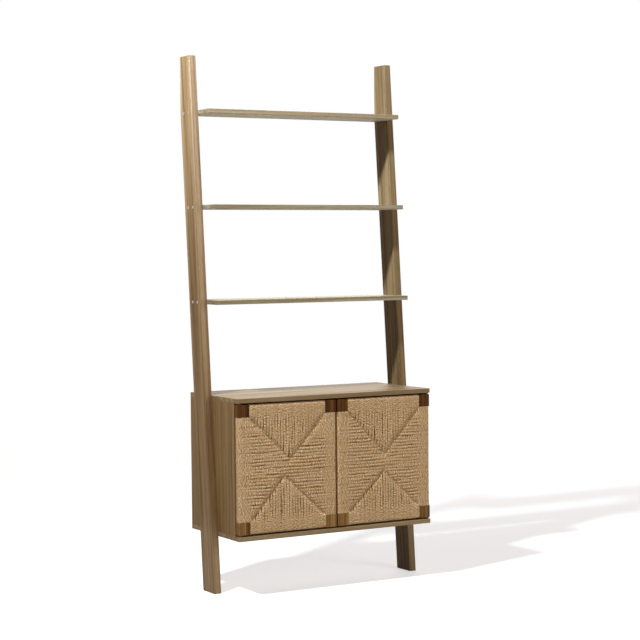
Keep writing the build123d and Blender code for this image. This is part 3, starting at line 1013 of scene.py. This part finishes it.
    def place(self, edge: Edge, lane: float, t: float, w: float) -> Vector:
        """Point of the door in the unit's frame.

        Args:
            edge: Edge that the strand goes over.
            lane: Place along the edge, in metres.
            t: Distance in from the edge, in metres.
            w: Distance behind the front face, in metres.

        Returns:
            The point, in metres.
        """
        y = self.low.y + w
        if edge is Edge.TOP:
            return Vector((lane, y, self.high.z - t))
        if edge is Edge.BOTTOM:
            return Vector((lane, y, self.low.z + t))
        if edge is Edge.LOW_X:
            return Vector((self.low.x + t, y, lane))
        return Vector((self.high.x - t, y, lane))

    def tube(self, path: list[Vector], edge: Edge, dice: random.Random, skin: CordSkin) -> None:
        """Add one strand's round skin to the panel's.

        Args:
            path: Middle line.
            edge: Edge that the strand goes over.
            dice: Source of its thickness, twist and tone.
            skin: Skin of the panel.
        """
        radius = self.cord_mm * MM / 2 * dice.uniform(*self.cord_swing)
        lay = self.lay_mm * MM * dice.uniform(*self.lay_swing)
        tint = dice.random()
        sides = self.ring_sides
        across = Vector((1, 0, 0)) if edge.level else Vector((0, 0, 1))
        base = len(skin.vertices)
        length = 0.0
        marks: list[float] = []
        for i, point in enumerate(path):
            before = path[max(0, i - 1)]
            after = path[min(len(path) - 1, i + 1)]
            out = (after - before).normalized().cross(across).normalized()
            length += (point - before).length
            marks.append(length / lay)
            for k in range(sides):
                angle = 2 * math.pi * k / sides
                skin.vertices.append(point + (across * math.cos(angle) + out * math.sin(angle)) * radius)
                skin.tints.append(tint)
        for i, (mark, later) in enumerate(zip(marks, marks[1:])):
            for k in range(sides):
                a = base + i * sides + k
                b = base + i * sides + (k + 1) % sides
                skin.faces.append((a, b, b + sides, a + sides))
                near, far = k / sides, (k + 1) / sides
                skin.coordinates.extend(((mark, near), (mark, far), (later, far), (later, near)))
        last = len(skin.vertices) - sides
        first_ring, last_ring = range(base + sides - 1, base - 1, -1), range(last, last + sides)
        for ring, mark in ((first_ring, marks[0]), (last_ring, marks[-1])):
            skin.faces.append(tuple(ring))
            skin.coordinates.extend((mark, k / sides) for k in range(sides))


@dataclass
class Studio:
    """Pale floor, white surroundings, soft lamps and the camera."""

    eye: tuple[float, float, float] = (-3.0415, -5.3032, 1.1543)
    yaw: float = 30.153
    pitch: float = 2.3734
    roll: float = -0.5054
    lens: float = 100.02
    sensor_width: float = 36.0
    view_end: float = 100.0
    middle: tuple[float, float, float] = (0.0, 0.0, 0.9)
    key_place: tuple[float, float, float] = (-1.9, -0.8, 3.0)
    key_colour: str = "#FFFEFC"
    key_power: float = 308.0
    key_radius: float = 0.10
    beam_power: float = 490.0
    beam_colour: str = "#BFDAFF"
    beam_target: tuple[float, float, float] = (-0.42, 0.1, 2.1)
    beam_degrees: float = 46.0
    fill_place: tuple[float, float, float] = (1.7, -4.8, 1.5)
    fill_power: float = 86.0
    fill_colour: str = "#FFF6EA"
    fill_size: float = 2.6
    back_place: tuple[float, float, float] = (2.8, 4.2, 2.6)
    back_power: float = 80.0
    white: str = "#FFFFFF"
    ambient: float = 0.03
    ambient_colour: str = "#FFFDFA"
    floor_size: float = 60.0
    # The floor lies a little lower than the feet, so that the two faces don't mix.
    floor_drop_mm: float = 0.1
    # What the floor throws back at the unit, and what the eye sees in its shadow.
    floor_bounce: str = "#A8A8A8"
    floor_glow: float = 0.595
    glow_colour: str = "#FCFCFF"
    # Between these distances the floor fades into the white surroundings.
    fade_start: float = 2.8
    fade_end: float = 4.6

    def build(self) -> None:
        """Make the whole studio."""
        self.surroundings()
        self.floor()
        self.lamps()
        self.camera()
        bpy.context.scene.view_settings.view_transform = "Standard"

    def seen_directly(self, tree: NodeTree) -> NodeSocket:
        """Tell what is looked at from what only gives light.

        Args:
            tree: Tree that gets the nodes.

        Returns:
            Socket that is 1 for rays from the camera, a mirror or a clear body, and 0 for others.
        """
        path = add_node(tree, "ShaderNodeLightPath")
        first = add_node(tree, "ShaderNodeMath",
                         {0: path.outputs["Is Camera Ray"], 1: path.outputs["Is Glossy Ray"]},
                         operation="MAXIMUM")
        both = add_node(tree, "ShaderNodeMath",
                        {0: first.outputs[0], 1: path.outputs["Is Transmission Ray"]}, operation="MAXIMUM")
        return both.outputs[0]

    def surroundings(self) -> None:
        """White all round to look at, and a plain level of light from everywhere."""
        world = bpy.data.worlds.new("white_surroundings")
        world.use_nodes = True
        tree = world.node_tree
        tree.nodes.clear()
        output = add_node(tree, "ShaderNodeOutputWorld")
        plain = add_node(tree, "ShaderNodeBackground",
                         {"Color": linear(self.ambient_colour), "Strength": self.ambient})
        white = add_node(tree, "ShaderNodeBackground", {"Color": linear(self.white), "Strength": 1.0})
        mixed = add_node(tree, "ShaderNodeMixShader",
                         {0: self.seen_directly(tree), 1: plain.outputs[0], 2: white.outputs[0]})
        tree.links.new(mixed.outputs[0], output.inputs["Surface"])
        bpy.context.scene.world = world

    def floor(self) -> None:
        """Pale floor that looks white where it is lit and keeps a light shadow."""
        material, tree, output = new_material("painted_floor_matt_white")
        plain = add_node(tree, "ShaderNodeBsdfDiffuse", {"Color": linear(self.floor_bounce)})
        shadowed = add_node(tree, "ShaderNodeBsdfDiffuse", {"Color": linear(self.white)})
        glow = add_node(tree, "ShaderNodeEmission",
                        {"Color": linear(self.glow_colour), "Strength": self.floor_glow})
        both = add_node(tree, "ShaderNodeAddShader", {0: shadowed.outputs[0], 1: glow.outputs[0]})
        white = add_node(tree, "ShaderNodeEmission", {"Color": linear(self.white), "Strength": 1.0})
        place = add_node(tree, "ShaderNodeTexCoord")
        distance = add_node(tree, "ShaderNodeVectorMath", {0: place.outputs["Object"]}, operation="LENGTH")
        far = add_node(tree, "ShaderNodeMapRange",
                       {"Value": distance.outputs["Value"], "From Min": self.fade_start,
                        "From Max": self.fade_end}, interpolation_type="SMOOTHSTEP")
        faded = add_node(tree, "ShaderNodeMixShader",
                         {0: far.outputs[0], 1: both.outputs[0], 2: white.outputs[0]})
        mixed = add_node(tree, "ShaderNodeMixShader",
                         {0: self.seen_directly(tree), 1: plain.outputs[0], 2: faded.outputs[0]})
        tree.links.new(mixed.outputs[0], output.inputs["Surface"])
        half = self.floor_size / 2
        corners = [(-half, -half), (half, -half), (half, half), (-half, half)]
        mesh = bpy.data.meshes.new("floor")
        mesh.from_pydata([(x, y, -self.floor_drop_mm * MM) for x, y in corners], [], [(0, 1, 2, 3)])
        mesh.materials.append(material)
        floor = new_object("floor", mesh)

    def lamps(self) -> None:
        """Key lamp with a brighter beam in its middle from the upper left, and two wide fills."""
        key = bpy.data.lights.new("key", "POINT")
        key.shadow_soft_size = self.key_radius
        self.hang(key, self.key_power, self.key_colour, self.key_place, self.middle)
        beam = bpy.data.lights.new("key_beam", "SPOT")
        beam.shadow_soft_size = self.key_radius
        beam.spot_size = math.radians(self.beam_degrees)
        beam.spot_blend = 1.0
        self.hang(beam, self.beam_power, self.beam_colour, self.key_place, self.beam_target)
        for name, place, power in (("fill", self.fill_place, self.fill_power),
                                   ("back_fill", self.back_place, self.back_power)):
            wide = bpy.data.lights.new(name, "AREA")
            wide.size = self.fill_size
            self.hang(wide, power, self.fill_colour, place, self.middle)

    def hang(self, light: Light, power: float, code: str, place: tuple[float, float, float],
             target: tuple[float, float, float]) -> None:
        """Add a lamp that points at a place.

        Args:
            light: Its light data.
            power: Its power in watts.
            code: Its hex colour.
            place: Where it hangs, in metres.
            target: Where it points, in metres.
        """
        light.energy = power
        light.color = linear(code)[:3]
        lamp = new_object(light.name, light)
        lamp.location = place
        travel = Vector(target) - Vector(place)
        lamp.rotation_euler = travel.to_track_quat("-Z", "Y").to_euler()

    def camera(self) -> None:
        """Camera where the photograph was taken from, for a square picture."""
        yaw, pitch, roll = (math.radians(angle) for angle in (self.yaw, self.pitch, self.roll))
        ahead = Vector((math.sin(yaw) * math.cos(pitch), math.cos(yaw) * math.cos(pitch), -math.sin(pitch)))
        right = Vector((math.cos(yaw), -math.sin(yaw), 0.0))
        up = right.cross(ahead)
        tilted_right = right * math.cos(roll) + up * math.sin(roll)
        tilted_up = up * math.cos(roll) - right * math.sin(roll)
        data = bpy.data.cameras.new("camera")
        data.lens = self.lens
        data.sensor_width = self.sensor_width
        data.clip_end = self.view_end
        camera = new_object("camera", data)
        axes = Matrix((tilted_right, tilted_up, -ahead)).transposed()
        camera.matrix_world = Matrix.Translation(Vector(self.eye)) @ axes.to_4x4()
        bpy.context.scene.camera = camera


def main() -> None:
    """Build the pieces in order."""
    logging.basicConfig(level=logging.INFO, format="%(message)s")
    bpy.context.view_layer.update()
    Boards().dress()
    Fittings().dress()
    stained = StainWithPaintedFloorLight("beech_stained_dark", ("#3E2108", "#54310E", "#674118", "#785124"), "#A48C6C",
                         "#7A5426", band_mm=16.0, line_mm=5.0, gloss=0.1)
    frame_materials = (stained.material(Grain.UPRIGHT), stained.material(Grain.ACROSS))
    cord = PaperCord().material()
    card = Hard("kraft_card_pressed", "#8F6A45", "#7A5836", 0.0, 0.85, 2.0).material()
    WovenDoor(Side.LEFT, cord, card, frame_materials,
              upper_point_mm=(8.0, 188.0), lower_point_mm=(-15.0, 188.0)).dress()
    WovenDoor(Side.RIGHT, cord, card, frame_materials,
              upper_point_mm=(1.0, 194.0), lower_point_mm=(-2.0, 177.0)).dress()
    Studio().build()


if __name__ == "__main__":
    main()
